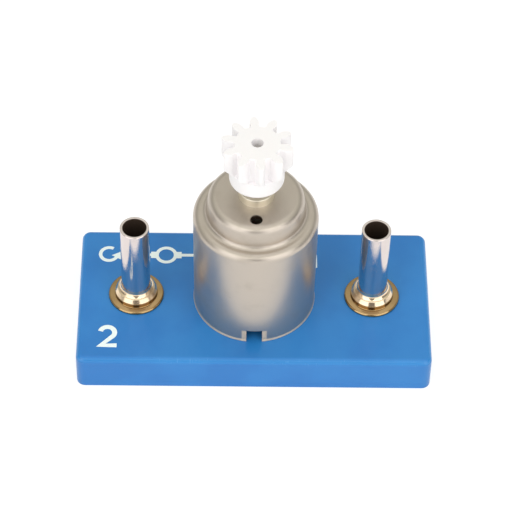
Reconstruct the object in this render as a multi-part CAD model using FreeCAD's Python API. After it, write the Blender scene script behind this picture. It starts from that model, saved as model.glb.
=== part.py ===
import FreeCAD, Part
import math
import os

# Demonstration electric motor: a small round motor standing on a moulded
# block, with a pinion on its shaft and a tube socket on each side of it.
#
# Millimetres.  The origin is the middle of the block's underside, +X runs
# along the block to the right-hand socket, +Y to the back and +Z up along
# the motor's shaft.  Heights with no other name are measured from z = 0.

Vector = FreeCAD.Vector
UP = Vector(0, 0, 1)
CENTRE = Vector(0, 0, 0)
SIDES = (("left", -1), ("right", 1))
ENDS = (("front", -1), ("back", 1))

# ---------------------------------------------------------------- sizes

# moulded block, open underneath
block_width = 61.0
block_depth = 29.6
block_height = 7.0
block_wall = 2.0
block_skin = 2.2
block_corner_radius = 1.5
block_edge_radius = 1.0
cavity_corner_radius = 0.6
rib_thickness = 1.2
rib_offset = 13.0

# tube sockets for 4 mm plugs, each set in from its end of the block
terminal_inset = 10.0
tube_bore_diameter = 4.0
tube_wall = 0.5
tube_height = 17.4
tube_rim_chamfer = 0.15
rivet_flange_diameter = 7.0
rivet_flange_thickness = 0.5
tube_clearance = 0.05

# stepped brass flange and the flared collar on it
flange_diameter = 9.6
flange_thickness = 0.6
flange_edge_chamfer = 0.2
flange_step_diameter = 7.4
flange_step_height = 0.8
collar_foot_diameter = 7.0
collar_crest_diameter = 6.0
collar_crest_height = 0.65
collar_height = 2.0
collar_lip = 0.1

# stamped strips under the block, soldered to the brush terminals
strip_thickness = 0.5
strip_ring_diameter = 7.2
strip_pad_diameter = 4.4
strip_relief = 0.6
solder_base_diameter = 3.2
solder_tip_diameter = 2.5
solder_height = 1.0

# drawn steel can
can_diameter = 21.2
can_wall = 0.8
can_body_length = 21.8
can_shoulder_radius = 1.0
can_foot_lip = 0.2
can_foot_lip_height = 0.55
shoulder_width = 2.2
crown_height = 4.2
crown_draft = 0.35
crown_edge_radius = 0.8
crown_root_radius = 0.3
boss_diameter = 6.0
boss_height = 1.7
boss_edge_radius = 0.9
boss_root_chamfer = 0.3
boss_mouth_diameter = 3.2
notch_width = 2.7
notch_height = 2.8
face_hole_diameter = 2.1
face_hole_pitch = 11.2

# bearings and shaft
shaft_diameter = 2.0
shaft_tip_chamfer = 0.2
bearing_clearance = 0.03
bearing_length = 3.0
front_bearing_diameter = 4.4
rear_bearing_diameter = 4.0
thrust_disc_diameter = 3.2
thrust_disc_thickness = 0.4
end_play = 0.1

# moulded end cap inside the can's mouth
end_cap_recess = 2.6
end_cap_thickness = 1.8
end_cap_skirt_height = 1.6
end_cap_skirt_wall = 0.8
end_cap_hub_diameter = 6.0
end_cap_floor = 0.6
hub_hole_clearance = 0.1

# brushes on their leaf springs
brush_sheet = 0.3
blade_width = 2.0
blade_y = -4.0
blade_skirt_gap = 0.35
blade_tail = 0.7
blade_slot_clearance = 0.3
leaf_height = 2.4
leaf_lift = 1.8
leaf_reach = 1.3
leaf_bend_y = -1.3
brush_width = 2.0
brush_height = 2.0
brush_thickness = 1.4
brush_gap = 0.1

# commutator
commutator_diameter = 4.4
commutator_segment_thickness = 0.45
commutator_segment_length = 4.0
commutator_slit = 0.4
commutator_overlap = 0.8
tang_length = 0.8
tang_width = 1.0
tang_thickness = 0.4
ring_thickness = 0.4
ring_length = 0.5

# three-pole armature
pole_count = 3
core_end_gap = 0.8
core_air_gap = 0.35
core_hub_diameter = 5.2
pole_neck_width = 2.4
pole_shoe_thickness = 1.2
pole_shoe_angle = 100.0
insulator_thickness = 0.3
coil_build = 1.9
coil_overhang = 1.0
coil_corner_radius = 1.4
coil_hub_gap = 0.3
coil_shoe_gap = 0.1
coil_tang_gap = 0.3
spacer_diameter = 3.4
spacer_gap = 0.2

# arc magnets and the springs that press them apart
magnet_thickness = 2.0
magnet_leaf_gap = 1.0
magnet_angle = 140.0
spring_sheet = 0.3
spring_leg = 1.4
spring_margin = 0.6

# pinion
gear_module = 1.0
gear_teeth = 10
gear_pressure_angle = 20.0
gear_dedendum = 1.25
gear_root_fillet = 0.35
gear_tooth_length = 5.3
gear_hub_diameter = 9.2
gear_hub_length = 3.4
gear_standoff = 2.15
gear_tip_crown = 0.22
gear_backlash = 0.06
gear_phase = -83.6
gear_foot_chamfer = 1.4
shaft_end_depth = 1.4

# ------------------------------------------------------- derived places

seat_z = block_height
skin_z = block_height - block_skin
terminal_x = block_width / 2 - terminal_inset
tube_bore_radius = tube_bore_diameter / 2
tube_radius = tube_bore_radius + tube_wall
tube_top_z = seat_z + tube_height
strip_bottom_z = skin_z - strip_thickness

can_radius = can_diameter / 2
can_inner_radius = can_radius - can_wall
shoulder_z = seat_z + can_body_length
crown_z = shoulder_z + crown_height
boss_z = crown_z + boss_height
crown_radius = can_radius - shoulder_width

shaft_radius = shaft_diameter / 2
bearing_bore_radius = shaft_radius + bearing_clearance
front_bearing_top_z = boss_z - can_wall
front_bearing_bottom_z = front_bearing_top_z - bearing_length

end_cap_bottom_z = seat_z + end_cap_recess
end_cap_top_z = end_cap_bottom_z + end_cap_thickness
end_cap_hub_bottom_z = skin_z + hub_hole_clearance
thrust_disc_bottom_z = end_cap_hub_bottom_z + end_cap_floor
rear_bearing_bottom_z = thrust_disc_bottom_z + thrust_disc_thickness
shaft_bottom_z = rear_bearing_bottom_z + end_play

skirt_radius = can_inner_radius - end_cap_skirt_wall
blade_corner_y = abs(blade_y) + blade_width / 2
blade_x = math.sqrt((skirt_radius - blade_skirt_gap) ** 2 - blade_corner_y ** 2) - brush_sheet / 2
leaf_bottom_z = end_cap_top_z + leaf_lift
leaf_top_z = leaf_bottom_z + leaf_height
brush_bottom_z = leaf_bottom_z + (leaf_height - brush_height) / 2
commutator_radius = commutator_diameter / 2
commutator_core_radius = commutator_radius - commutator_segment_thickness
segment_bottom_z = brush_bottom_z - commutator_overlap
segment_top_z = segment_bottom_z + commutator_segment_length
brush_face_x = commutator_radius + brush_gap
leaf_x = brush_face_x + brush_thickness + brush_sheet / 2

magnet_top_z = shoulder_z - can_wall
magnet_bottom_z = leaf_top_z + magnet_leaf_gap
magnet_length = magnet_top_z - magnet_bottom_z
magnet_inner_radius = can_inner_radius - magnet_thickness

winding_bottom_z = segment_top_z + coil_tang_gap + coil_overhang
core_bottom_z = winding_bottom_z + insulator_thickness
core_top_z = magnet_top_z - core_end_gap
core_length = core_top_z - core_bottom_z
winding_top_z = core_top_z + insulator_thickness
core_radius = magnet_inner_radius - core_air_gap
shoe_inner_radius = core_radius - pole_shoe_thickness
coil_inner_radius = core_hub_diameter / 2 + coil_hub_gap
spacer_top_z = front_bearing_bottom_z - spacer_gap

pinion_bottom_z = boss_z + gear_standoff
tooth_bottom_z = pinion_bottom_z + gear_hub_length
pinion_top_z = tooth_bottom_z + gear_tooth_length
shaft_top_z = pinion_top_z - shaft_end_depth
pitch_radius = gear_module * gear_teeth / 2
tip_radius = pitch_radius + gear_module
root_radius = pitch_radius - gear_dedendum * gear_module
base_radius = pitch_radius * math.cos(math.radians(gear_pressure_angle))


# -------------------------------------------------------------- helpers

def in_plan(u, v):
    """A point of a plan outline."""
    return Vector(u, v, 0)


def in_section(u, v):
    """A point of a turned part's half section: u is the radius, v the height."""
    return Vector(u, 0, v)


def across_pole(u, v):
    """A point of an outline seen along the X axis."""
    return Vector(0, u, v)


def rounded_wire(corners, place):
    """A closed wire through corners (u, v) or (u, v, radius of that corner)."""
    count = len(corners)
    points = [place(corner[0], corner[1]) for corner in corners]
    radii = [corner[2] if len(corner) > 2 else 0.0 for corner in corners]
    stretches = []
    for i in range(count):
        corner = points[i]
        to_last = (points[i - 1] - corner).normalize()
        to_next = (points[(i + 1) % count] - corner).normalize()
        if radii[i] == 0:
            stretches.append((corner, None, corner))
            continue
        half = to_last.getAngle(to_next) / 2
        reach = radii[i] / math.tan(half)
        bisector = (to_last + to_next).normalize()
        middle = corner + bisector * (radii[i] / math.sin(half) - radii[i])
        stretches.append((corner + to_last * reach, middle, corner + to_next * reach))
    edges = []
    for i in range(count):
        start, middle, end = stretches[i]
        if middle is not None:
            edges.append(Part.Arc(start, middle, end).toShape())
        following = stretches[(i + 1) % count][0]
        if end.distanceToPoint(following) > 1e-6:
            edges.append(Part.LineSegment(end, following).toShape())
    return Part.Wire(edges)


def turned(corners):
    """A part turned about the Z axis from its half section."""
    face = Part.Face(rounded_wire(corners, in_section))
    return face.revolve(CENTRE, UP, 360)


def plate(corners, bottom_z, height):
    """A plan outline raised to a plate."""
    face = Part.Face(rounded_wire(corners, in_plan))
    return face.extrude(UP * height).translate(UP * bottom_z)


def cylinder(radius, bottom_z, height, x=0.0, y=0.0):
    return Part.makeCylinder(radius, height, Vector(x, y, bottom_z))


def block(low_x, high_x, low_y, high_y, low_z, high_z):
    corner = Vector(low_x, low_y, low_z)
    return Part.makeBox(high_x - low_x, high_y - low_y, high_z - low_z, corner)


def rectangle(half_x, half_y, radius):
    """Corners of a rectangle about the origin, with rounded corners."""
    return [(half_x, half_y, radius), (-half_x, half_y, radius),
            (-half_x, -half_y, radius), (half_x, -half_y, radius)]


def tapered_link(start, start_radius, end, end_radius, bottom_z, height):
    """A flat link: two round ends joined by their common tangents."""
    first = Vector(start[0], start[1], 0)
    second = Vector(end[0], end[1], 0)
    along = second - first
    lean = math.acos((start_radius - end_radius) / along.Length)
    heading = math.atan2(along.y, along.x)
    upper = Vector(math.cos(heading + lean), math.sin(heading + lean), 0)
    lower = Vector(math.cos(heading - lean), math.sin(heading - lean), 0)
    ahead = Vector(math.cos(heading), math.sin(heading), 0)
    edges = [
        Part.LineSegment(first + upper * start_radius, second + upper * end_radius).toShape(),
        Part.Arc(second + upper * end_radius, second + ahead * end_radius,
                 second + lower * end_radius).toShape(),
        Part.LineSegment(second + lower * end_radius, first + lower * start_radius).toShape(),
        Part.Arc(first + lower * start_radius, first - ahead * start_radius,
                 first + upper * start_radius).toShape(),
    ]
    face = Part.Face(Part.Wire(edges))
    return face.extrude(UP * height).translate(UP * bottom_z)


def sector(inner_radius, outer_radius, middle_angle, angle, bottom_z, height):
    """A sector of a ring about the Z axis; the angles are in degrees."""
    def at(radius, offset):
        turn = math.radians(middle_angle + offset)
        return Vector(radius * math.cos(turn), radius * math.sin(turn), 0)

    half = angle / 2
    edges = [
        Part.Arc(at(outer_radius, -half), at(outer_radius, 0), at(outer_radius, half)).toShape(),
        Part.LineSegment(at(outer_radius, half), at(inner_radius, half)).toShape(),
        Part.Arc(at(inner_radius, half), at(inner_radius, 0), at(inner_radius, -half)).toShape(),
        Part.LineSegment(at(inner_radius, -half), at(outer_radius, -half)).toShape(),
    ]
    face = Part.Face(Part.Wire(edges))
    return face.extrude(UP * height).translate(UP * bottom_z)


def turned_by(shape, degrees):
    """A copy of the shape turned about the Z axis."""
    copy = shape.copy()
    copy.rotate(CENTRE, UP, degrees)
    return copy


def mirrored_to(shape, side):
    """The right-hand shape itself, or its mirror image on the left."""
    return shape if side > 0 else shape.mirror(CENTRE, Vector(1, 0, 0))


def pole_angle(index):
    return 90.0 + index * 360.0 / pole_count


def save(name, solids):
    """Write one node: a solid, or a group of separate solids."""
    if isinstance(solids, list):
        shape = Part.makeCompound(solids)
    else:
        shape = solids.removeSplitter()
        shape = shape.Solids[0] if len(shape.Solids) == 1 else shape
    shape.exportStep(os.path.join("parts", name + ".step"))


# ----------------------------------------------------------- base block

def strip_plan(extra, bottom_z, height):
    """The right-hand strip's outline, let out all round by extra."""
    return tapered_link((terminal_x, 0), strip_ring_diameter / 2 + extra,
                        (blade_x, blade_y), strip_pad_diameter / 2 + extra,
                        bottom_z, height)


def blade(extra, bottom_z, top_z):
    """The right-hand brush terminal's blade, let out all round by extra."""
    half_sheet = brush_sheet / 2 + extra
    half_width = blade_width / 2 + extra
    return block(blade_x - half_sheet, blade_x + half_sheet,
                 blade_y - half_width, blade_y + half_width, bottom_z, top_z)


def make_base_block():
    """Moulded shell with a rounded top edge, two cross ribs and its holes."""
    body = plate(rectangle(block_width / 2, block_depth / 2, block_corner_radius),
                 0, block_height)
    top_edges = [edge for edge in body.Edges
                 if edge.BoundBox.ZMin > block_height - 1e-6]
    body = body.makeFillet(block_edge_radius, top_edges)
    inside_x = block_width / 2 - block_wall
    inside_y = block_depth / 2 - block_wall
    cavity = plate(rectangle(inside_x, inside_y, cavity_corner_radius), 0, skin_z)
    for side in (-1, 1):
        rib = block(side * rib_offset - rib_thickness / 2, side * rib_offset + rib_thickness / 2,
                    -block_depth / 2, block_depth / 2, 0, skin_z)
        passage = mirrored_to(strip_plan(strip_relief, strip_bottom_z - strip_relief,
                                         strip_thickness + strip_relief), side)
        cavity = cavity.cut(rib.cut(passage))
    body = body.cut(cavity)
    body = body.cut(cylinder(end_cap_hub_diameter / 2 + hub_hole_clearance, skin_z, block_skin))
    for side in (-1, 1):
        body = body.cut(cylinder(tube_radius + tube_clearance, skin_z, block_skin,
                                 side * terminal_x))
        body = body.cut(mirrored_to(blade(blade_slot_clearance, skin_z, seat_z), side))
    return body


# -------------------------------------------------------- tube sockets

def at_terminal(shape, side):
    return shape.translate(Vector(side * terminal_x, 0, 0))


def make_terminal_post():
    """Plated tube, riveted over under the strip, with a broken rim."""
    rivet_z = strip_bottom_z - rivet_flange_thickness
    return turned([
        (tube_bore_radius, rivet_z),
        (rivet_flange_diameter / 2, rivet_z),
        (rivet_flange_diameter / 2, strip_bottom_z),
        (tube_radius, strip_bottom_z),
        (tube_radius, tube_top_z - tube_rim_chamfer),
        (tube_radius - tube_rim_chamfer, tube_top_z),
        (tube_bore_radius + tube_rim_chamfer, tube_top_z),
        (tube_bore_radius, tube_top_z - tube_rim_chamfer),
    ])


def make_flange_washer():
    """Stepped brass flange under the collar, its edges broken."""
    bore = tube_radius + tube_clearance
    flange_radius = flange_diameter / 2
    step_radius = flange_step_diameter / 2
    low_z = seat_z + flange_thickness
    high_z = low_z + flange_step_height
    return turned([
        (bore, seat_z),
        (flange_radius, seat_z),
        (flange_radius, low_z - flange_edge_chamfer),
        (flange_radius - flange_edge_chamfer, low_z),
        (step_radius, low_z),
        (step_radius, high_z - flange_edge_chamfer),
        (step_radius - flange_edge_chamfer, high_z),
        (bore, high_z),
    ])


def make_flange_collar():
    """Plated collar: a skirt that sweeps out to a crest, then slopes to the foot."""
    bore = tube_radius + tube_clearance
    foot_z = seat_z + flange_thickness + flange_step_height
    crest_z = foot_z + collar_crest_height
    top_z = foot_z + collar_height
    crest_radius = collar_crest_diameter / 2
    neck_radius = bore + collar_lip
    width = crest_radius - neck_radius
    sweep_radius = (width ** 2 + (top_z - crest_z) ** 2) / (2 * width)
    half_turn = math.asin((top_z - crest_z) / sweep_radius) / 2
    corners = [in_section(neck_radius, top_z), in_section(bore, top_z), in_section(bore, foot_z),
               in_section(collar_foot_diameter / 2, foot_z), in_section(crest_radius, crest_z)]
    middle = in_section(neck_radius + sweep_radius * (1 - math.cos(half_turn)),
                        top_z - sweep_radius * math.sin(half_turn))
    edges = [Part.LineSegment(start, end).toShape() for start, end in zip(corners, corners[1:])]
    edges.append(Part.Arc(corners[-1], middle, corners[0]).toShape())
    return Part.Face(Part.Wire(edges)).revolve(CENTRE, UP, 360)


def make_contact_strip():
    """Stamped brass strip from the socket's rivet to the brush terminal."""
    strip = strip_plan(0, strip_bottom_z, strip_thickness)
    strip = strip.cut(cylinder(tube_radius, strip_bottom_z, strip_thickness, terminal_x))
    return strip.cut(blade(0, strip_bottom_z, skin_z))


def make_solder_joint():
    """Cone of solder over the end of the brush terminal."""
    joint = Part.makeCone(solder_base_diameter / 2, solder_tip_diameter / 2, solder_height,
                          Vector(blade_x, blade_y, strip_bottom_z), Vector(0, 0, -1))
    return joint.cut(blade(0, strip_bottom_z - blade_tail, strip_bottom_z))


# ------------------------------------------------------------ motor can

def make_motor_can():
    """Deep-drawn can: lipped foot, shoulder, crown, bearing boss, holes, notches."""
    crown_top_radius = crown_radius - crown_draft
    foot_radius = can_radius + can_foot_lip
    boss_radius = boss_diameter / 2
    pocket_radius = front_bearing_diameter / 2
    inner_crown_radius = crown_radius - can_wall
    inner_top_radius = crown_top_radius - can_wall
    shell = turned([
        (can_inner_radius, seat_z),
        (foot_radius, seat_z),
        (can_radius, seat_z + can_foot_lip_height),
        (can_radius, shoulder_z, can_shoulder_radius),
        (crown_radius, shoulder_z, crown_root_radius),
        (crown_top_radius, crown_z, crown_edge_radius),
        (boss_radius + boss_root_chamfer, crown_z),
        (boss_radius, crown_z + boss_root_chamfer),
        (boss_radius, boss_z, boss_edge_radius),
        (boss_mouth_diameter / 2, boss_z),
        (boss_mouth_diameter / 2, front_bearing_top_z),
        (pocket_radius, front_bearing_top_z),
        (pocket_radius, crown_z - can_wall),
        (inner_top_radius, crown_z - can_wall),
        (inner_crown_radius, magnet_top_z),
        (can_inner_radius, magnet_top_z),
    ])
    for side in (-1, 1):
        hole = cylinder(face_hole_diameter / 2, crown_z - can_wall, can_wall,
                        0, side * face_hole_pitch / 2)
        notch = block(-notch_width / 2, notch_width / 2,
                      min(side * foot_radius, 0), max(side * foot_radius, 0),
                      seat_z, seat_z + notch_height)
        shell = shell.cut(hole).cut(notch)
    return shell


def make_bearing(diameter, bottom_z):
    """Sintered bush with a running bore."""
    bush = cylinder(diameter / 2, bottom_z, bearing_length)
    return bush.cut(cylinder(bearing_bore_radius, bottom_z, bearing_length))


def make_magnet():
    """Right-hand arc magnet, bedded on the can's wall and shoulder."""
    return sector(magnet_inner_radius, can_inner_radius, 0, magnet_angle,
                  magnet_bottom_z, magnet_length)


def make_magnet_spring():
    """Back spring: a channel of sheet between the two magnets' ends."""
    gap_angle = 180 - magnet_angle
    leg_inner_radius = can_inner_radius - spring_leg
    bottom_z = magnet_bottom_z + spring_margin
    length = magnet_length - 2 * spring_margin
    middle = sector(leg_inner_radius, can_inner_radius, 90, gap_angle, bottom_z, length)
    sheet_angle = math.degrees(spring_sheet / can_inner_radius)
    hollow = sector(leg_inner_radius / 2, can_inner_radius - spring_sheet, 90,
                    gap_angle - 2 * sheet_angle, bottom_z, length)
    return middle.cut(hollow)


# -------------------------------------------- end cap and brush gear

def make_end_cap():
    """Moulded end cap: disc, skirt, bearing hub and two terminal slots."""
    disc_radius = can_inner_radius
    hub_radius = end_cap_hub_diameter / 2
    pocket_radius = rear_bearing_diameter / 2
    skirt_top_z = end_cap_top_z + end_cap_skirt_height
    cap = turned([
        (0, end_cap_hub_bottom_z),
        (hub_radius, end_cap_hub_bottom_z),
        (hub_radius, end_cap_bottom_z),
        (disc_radius, end_cap_bottom_z),
        (disc_radius, skirt_top_z),
        (skirt_radius, skirt_top_z),
        (skirt_radius, end_cap_top_z),
        (pocket_radius, end_cap_top_z),
        (pocket_radius, rear_bearing_bottom_z),
        (thrust_disc_diameter / 2, rear_bearing_bottom_z),
        (thrust_disc_diameter / 2, thrust_disc_bottom_z),
        (0, thrust_disc_bottom_z),
    ])
    for side in (-1, 1):
        cap = cap.cut(mirrored_to(blade(0, end_cap_bottom_z, end_cap_top_z), side))
    return cap


def leaf_run(start, end):
    """One straight run of the leaf spring, with rounded ends."""
    return tapered_link(start, brush_sheet / 2, end, brush_sheet / 2,
                        leaf_bottom_z, leaf_height)


def make_brush_arm():
    """Right-hand leaf spring with the terminal blade in one piece."""
    root = (blade_x, blade_y + blade_width / 2 - brush_sheet / 2)
    bend = (leaf_x, leaf_bend_y)
    arm = blade(0, strip_bottom_z - blade_tail, leaf_top_z)
    arm = arm.fuse(leaf_run(root, bend))
    return arm.fuse(leaf_run(bend, (leaf_x, leaf_reach)))


def make_carbon_brush():
    """Right-hand carbon block on the leaf, facing the commutator."""
    return block(brush_face_x, brush_face_x + brush_thickness,
                 -brush_width / 2, brush_width / 2,
                 brush_bottom_z, brush_bottom_z + brush_height)


# ---------------------------------------------------------------- rotor

def make_motor_shaft():
    shaft = cylinder(shaft_radius, shaft_bottom_z, shaft_top_z - shaft_bottom_z)
    return shaft.makeChamfer(shaft_tip_chamfer, [edge for edge in shaft.Edges if edge.isClosed()])


def make_commutator_hub():
    """Moulded sleeve that carries the copper segments."""
    hub = cylinder(commutator_core_radius, segment_bottom_z, winding_bottom_z - segment_bottom_z)
    return hub.cut(cylinder(shaft_radius, segment_bottom_z, winding_bottom_z - segment_bottom_z))


def make_commutator_segments():
    """One copper segment to each pole, with the tang its wire hooks on."""
    slit_angle = math.degrees(commutator_slit / commutator_radius)
    segments = []
    for index in range(pole_count):
        middle = pole_angle(index) + 180.0 / pole_count
        bar = sector(commutator_core_radius, commutator_radius, middle,
                     360.0 / pole_count - slit_angle, segment_bottom_z, commutator_segment_length)
        tang = block(commutator_core_radius, commutator_radius + tang_length,
                     -tang_width / 2, tang_width / 2, segment_top_z - tang_thickness, segment_top_z)
        tang = tang.cut(cylinder(commutator_core_radius, segment_bottom_z,
                                 commutator_segment_length))
        segments.append(bar.fuse(turned_by(tang, middle)).removeSplitter().Solids[0])
    return segments


def make_commutator_ring():
    """Insulating ring that binds the segments between brushes and tangs."""
    bottom_z = segment_top_z - tang_thickness - ring_length
    ring = cylinder(commutator_radius + ring_thickness, bottom_z, ring_length)
    return ring.cut(cylinder(commutator_radius, bottom_z, ring_length))


def pole_star(bottom_z, height):
    """Hub, three necks and three shoes in plan, raised to a stack."""
    star = cylinder(core_hub_diameter / 2, bottom_z, height)
    for index in range(pole_count):
        neck = block(0, shoe_inner_radius + pole_shoe_thickness / 2,
                     -pole_neck_width / 2, pole_neck_width / 2, bottom_z, bottom_z + height)
        shoe = sector(shoe_inner_radius, core_radius, 0, pole_shoe_angle, bottom_z, height)
        star = star.fuse(turned_by(neck.fuse(shoe), pole_angle(index)))
    star = star.cut(cylinder(shaft_radius, bottom_z, height))
    return star.removeSplitter()


def make_armature_insulators():
    """Fibre star at each end of the stack."""
    return [pole_star(winding_bottom_z, insulator_thickness).Solids[0],
            pole_star(core_top_z, insulator_thickness).Solids[0]]


def make_coil(index):
    """Winding about one pole's neck: a rounded loop between hub and shoe."""
    outer_y = pole_neck_width / 2 + coil_build
    low_z = winding_bottom_z - coil_overhang
    high_z = winding_top_z + coil_overhang
    outline = [(outer_y, high_z, coil_corner_radius), (-outer_y, high_z, coil_corner_radius),
               (-outer_y, low_z, coil_corner_radius), (outer_y, low_z, coil_corner_radius)]
    face = Part.Face(rounded_wire(outline, across_pole))
    coil = face.extrude(Vector(shoe_inner_radius, 0, 0))
    reach = cylinder(shoe_inner_radius - coil_shoe_gap, low_z, high_z - low_z)
    coil = coil.common(reach)
    coil = coil.cut(block(0, coil_inner_radius, -outer_y, outer_y, low_z, high_z))
    coil = coil.cut(block(0, core_radius, -pole_neck_width / 2, pole_neck_width / 2,
                          winding_bottom_z, winding_top_z))
    return turned_by(coil, pole_angle(index))


def make_shaft_spacer():
    """Sleeve between the armature and the front bearing."""
    height = spacer_top_z - winding_top_z
    sleeve = cylinder(spacer_diameter / 2, winding_top_z, height)
    return sleeve.cut(cylinder(shaft_radius, winding_top_z, height))


# --------------------------------------------------------------- pinion

def involute(radius):
    """Angle from the involute's start on the base circle, in radians."""
    if radius <= base_radius:
        return 0.0
    pressure = math.acos(base_radius / radius)
    return math.tan(pressure) - pressure


def tooth_half_angle(radius):
    """Half the angle that a tooth spans at this radius, in radians."""
    at_pitch = (math.pi * gear_module / 2 - gear_backlash) / (2 * pitch_radius)
    return at_pitch + involute(pitch_radius) - involute(radius)


def polar(radius, angle):
    return Vector(radius * math.cos(angle), radius * math.sin(angle), 0)


def root_fillet(flank_angle, turn):
    """Where a fillet leaves the flank, its middle and where it meets the root circle."""
    centre_radius = root_radius + gear_root_fillet
    centre_angle = flank_angle + turn * math.asin(gear_root_fillet / centre_radius)
    centre = polar(centre_radius, centre_angle)
    on_flank = polar(math.sqrt(centre_radius ** 2 - gear_root_fillet ** 2), flank_angle)
    on_root = polar(root_radius, centre_angle)
    middle = (on_flank + on_root) * 0.5 - centre
    return on_flank, centre + middle.normalize() * gear_root_fillet, on_root


def tooth_edges(middle):
    """One tooth from root to root: fillet, flank, crowned tip, flank, fillet, root arc."""
    land_radius = tip_radius - gear_tip_crown * gear_module
    steps = 4
    radii = [base_radius + (land_radius - base_radius) * i / steps for i in range(steps + 1)]
    rising = [polar(r, middle - tooth_half_angle(r)) for r in radii]
    falling = [polar(r, middle + tooth_half_angle(r)) for r in reversed(radii)]
    foot = tooth_half_angle(base_radius)
    pitch_angle = 2 * math.pi / gear_teeth
    rising_fillet = root_fillet(middle - foot, -1)
    falling_fillet = root_fillet(middle + foot, 1)
    next_fillet = root_fillet(middle + pitch_angle - foot, -1)
    root_middle = polar(root_radius, middle + pitch_angle / 2)
    flanks = []
    for points in (rising, falling):
        curve = Part.BSplineCurve()
        curve.interpolate(points)
        flanks.append(curve.toShape())
    return [
        Part.Arc(*rising_fillet).toShape(),
        Part.LineSegment(rising_fillet[0], rising[0]).toShape(),
        flanks[0],
        Part.Arc(rising[-1], polar(tip_radius, middle), falling[0]).toShape(),
        flanks[1],
        Part.LineSegment(falling[-1], falling_fillet[0]).toShape(),
        Part.Arc(*falling_fillet).toShape(),
        Part.Arc(falling_fillet[2], root_middle, next_fillet[2]).toShape(),
    ]


def make_drive_pinion():
    """Ten involute teeth that run out in a cone onto a plain hub."""
    edges = []
    for index in range(gear_teeth):
        middle = math.radians(gear_phase) + index * 2 * math.pi / gear_teeth
        edges.extend(tooth_edges(middle))
    outline = Part.Face(Part.Wire(Part.__sortEdges__(edges)))
    teeth = outline.extrude(UP * gear_tooth_length).translate(UP * tooth_bottom_z)
    hub_radius = gear_hub_diameter / 2
    runout = turned([
        (0, tooth_bottom_z),
        (hub_radius, tooth_bottom_z),
        (tip_radius, tooth_bottom_z + gear_foot_chamfer),
        (tip_radius, pinion_top_z),
        (0, pinion_top_z),
    ])
    hub = cylinder(hub_radius, pinion_bottom_z, gear_hub_length)
    pinion = teeth.common(runout).fuse(hub)
    bore = cylinder(shaft_radius, pinion_bottom_z, pinion_top_z - pinion_bottom_z)
    return pinion.cut(bore)


# ---------------------------------------------------------------- build

os.makedirs("parts", exist_ok=True)

save("base_block", make_base_block())
for side_name, side in SIDES:
    save("terminal_post_" + side_name, at_terminal(make_terminal_post(), side))
    save("flange_washer_" + side_name, at_terminal(make_flange_washer(), side))
    save("flange_collar_" + side_name, at_terminal(make_flange_collar(), side))
    save("contact_strip_" + side_name, mirrored_to(make_contact_strip(), side))
    save("solder_joint_" + side_name, mirrored_to(make_solder_joint(), side))
    save("magnet_" + side_name, mirrored_to(make_magnet(), side))
    save("brush_arm_" + side_name, mirrored_to(make_brush_arm(), side))
    save("carbon_brush_" + side_name, mirrored_to(make_carbon_brush(), side))

save("motor_can", make_motor_can())
save("front_bearing", make_bearing(front_bearing_diameter, front_bearing_bottom_z))
save("rear_bearing", make_bearing(rear_bearing_diameter, rear_bearing_bottom_z))
save("end_cap", make_end_cap())
save("thrust_disc", cylinder(thrust_disc_diameter / 2, thrust_disc_bottom_z,
                             thrust_disc_thickness))
for end_name, end in ENDS:
    save("magnet_spring_" + end_name, turned_by(make_magnet_spring(), 90 - 90 * end))

save("motor_shaft", make_motor_shaft())
save("commutator_hub", make_commutator_hub())
save("commutator_segments", make_commutator_segments())
save("commutator_ring", make_commutator_ring())
save("armature_core", pole_star(core_bottom_z, core_length))
save("armature_insulators", make_armature_insulators())
for coil_index in range(pole_count):
    save("coil_%d" % (coil_index + 1), make_coil(coil_index))
save("shaft_spacer", make_shaft_spacer())
save("drive_pinion", make_drive_pinion())
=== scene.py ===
import math

import bmesh
import bpy
from mathutils import Matrix, Vector


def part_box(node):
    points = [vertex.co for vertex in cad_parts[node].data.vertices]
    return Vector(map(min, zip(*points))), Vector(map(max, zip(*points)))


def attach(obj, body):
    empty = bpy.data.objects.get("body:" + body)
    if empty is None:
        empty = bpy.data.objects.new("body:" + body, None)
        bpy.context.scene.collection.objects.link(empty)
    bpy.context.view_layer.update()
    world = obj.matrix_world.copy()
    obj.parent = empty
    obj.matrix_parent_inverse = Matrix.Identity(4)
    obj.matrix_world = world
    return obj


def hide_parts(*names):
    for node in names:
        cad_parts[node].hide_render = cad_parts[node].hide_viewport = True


# Demonstration electric motor, dressed from its base up.  The frame is in
# metres, with +Z along the motor's shaft; MM turns millimetres into metres.
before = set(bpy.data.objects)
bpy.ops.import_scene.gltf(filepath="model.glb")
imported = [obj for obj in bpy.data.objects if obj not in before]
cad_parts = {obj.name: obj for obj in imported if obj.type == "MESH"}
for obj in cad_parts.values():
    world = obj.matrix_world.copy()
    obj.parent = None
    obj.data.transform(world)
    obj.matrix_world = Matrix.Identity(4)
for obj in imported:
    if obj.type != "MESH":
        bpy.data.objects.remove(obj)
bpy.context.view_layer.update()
MM = 0.001


# ------------------------------------------------------------ base block
# The block is one injection moulding in blue ABS with a satin mould finish,
# a rounded top edge and an open, ribbed underside.  Handling has polished
# its edges a little and left faint scuffs and dust marks on the top.  A band
# along the rounded top edge is also painted lighter blue as a highlight.

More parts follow.
